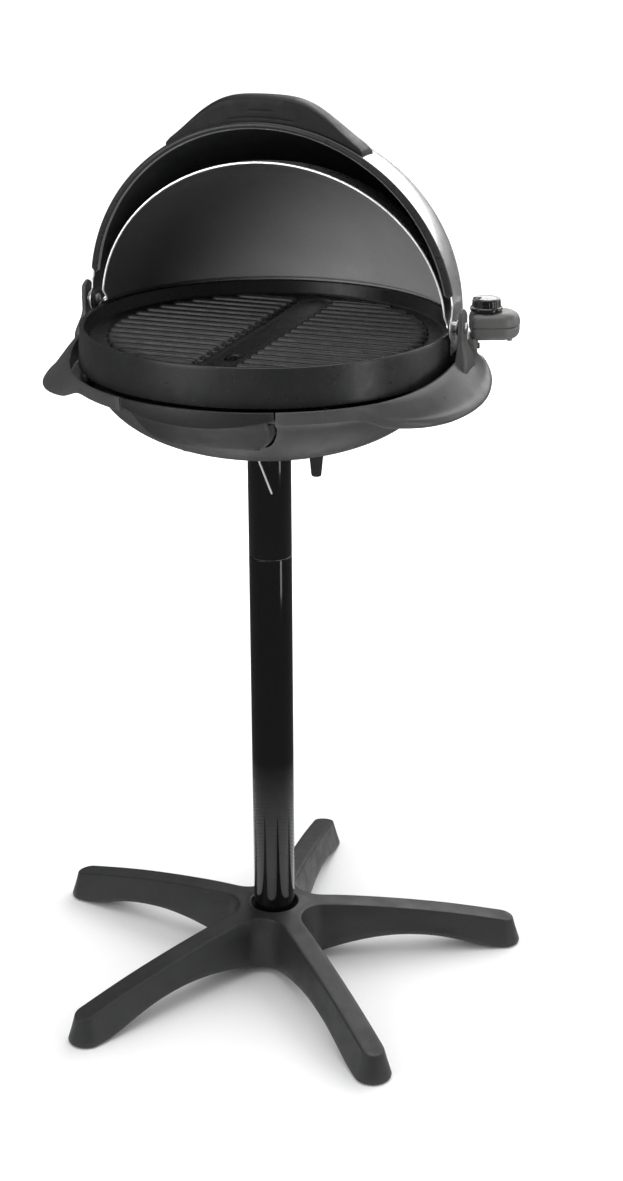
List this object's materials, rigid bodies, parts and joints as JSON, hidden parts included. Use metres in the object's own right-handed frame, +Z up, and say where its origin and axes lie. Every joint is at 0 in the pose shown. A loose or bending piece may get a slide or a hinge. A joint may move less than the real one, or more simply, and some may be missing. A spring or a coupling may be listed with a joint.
{
  "type": "electric grill",
  "caption": "Round electric grill with a roll-back hood, ribbed plate, grease drawer and plug-in thermostat, on a tubular post with a star foot.",
  "frame": {"origin": "on the floor, under the axis of the post", "axes": "+Z up along the post, -Y towards the front (drawer side), +X towards the side with the thermostat control"},
  "size_m": [0.6356, 0.6304, 1.1402],
  "materials": {
    "star_plastic": "fine-grained matt moulding",
    "pad_rubber": "matt",
    "post_paint": "gloss black",
    "plain_steel": "zinc plated",
    "bowl_plastic": "satin",
    "collar_plastic": "satin, fine grain",
    "bright_wire": "polished",
    "plate_coating": "charcoal non-stick coating",
    "spacer_ceramic": "matt",
    "reflector_sheet": "mill finish",
    "element_sheath": "oxidised sheath",
    "inner_hood_paint": "satin heat-proof paint",
    "outer_hood_silver": "bright silver",
    "hood_rim_black": "satin black",
    "handle_plastic": "matt",
    "bush_brass": "turned",
    "tray_plastic": "satin",
    "control_plastic": "satin",
    "knob_plastic": "gloss"
  },
  "bodies": {
    "stand": {"star_base": "star_plastic", "base_glides": "pad_rubber", "lower_post": "post_paint", "upper_post": "post_paint", "post_joiner": "plain_steel", "post_plug": "plain_steel", "hub_bolt": "plain_steel", "hub_washer": "plain_steel"},
    "head": {"bowl": "bowl_plastic", "table_feet": "collar_plastic", "post_wire": "bright_wire", "post_socket": "collar_plastic", "socket_screws": "plain_steel", "collar": "collar_plastic", "collar_screws": "plain_steel", "grill_plate": "plate_coating", "plate_spacers": "spacer_ceramic", "heat_reflector": "reflector_sheet", "heating_element": "element_sheath", "element_clips": "plain_steel", "tray_rails": "reflector_sheet", "rear_hood": "inner_hood_paint", "hood_brackets": "plain_steel", "pivot_pins": "plain_steel"},
    "hood": {"front_hood": "outer_hood_silver", "hood_rim": "hood_rim_black", "hood_handle": "handle_plastic", "handle_screws": "plain_steel", "pivot_bushes": "bush_brass"},
    "drawer": {"drip_tray": "reflector_sheet", "drip_tray_front": "tray_plastic"},
    "control": {"control_base": "control_plastic", "control_cover": "control_plastic", "control_screws": "plain_steel", "probe_rod": "plain_steel", "contact_sleeves": "bush_brass", "cord_gland": "pad_rubber"},
    "knob": {"control_knob": "knob_plastic", "knob_shaft": "plain_steel"}
  },
  "joints": [
    {"name": "head_lift", "type": "slide", "parent": "stand", "child": "head", "axis": [0, 0, 1], "range_m": [0, 0.07]},
    {"name": "hood_hinge", "type": "hinge", "parent": "head", "child": "hood", "pos_m": [0, 0.005, 0.882], "axis": [1, 0, 0], "range_deg": [0, 85]},
    {"name": "drawer_slide", "type": "slide", "parent": "head", "child": "drawer", "axis": [0, -1, 0], "range_m": [0, 0.12]},
    {"name": "control_pull", "type": "slide", "parent": "head", "child": "control", "axis": [0.9336, 0.3584, 0], "range_m": [0, 0.11]},
    {"name": "knob_turn", "type": "hinge", "parent": "control", "child": "knob", "pos_m": [0.2446, 0.09389, 0.884], "axis": [0, 0, 1], "range_deg": [0, 270]}
  ]
}
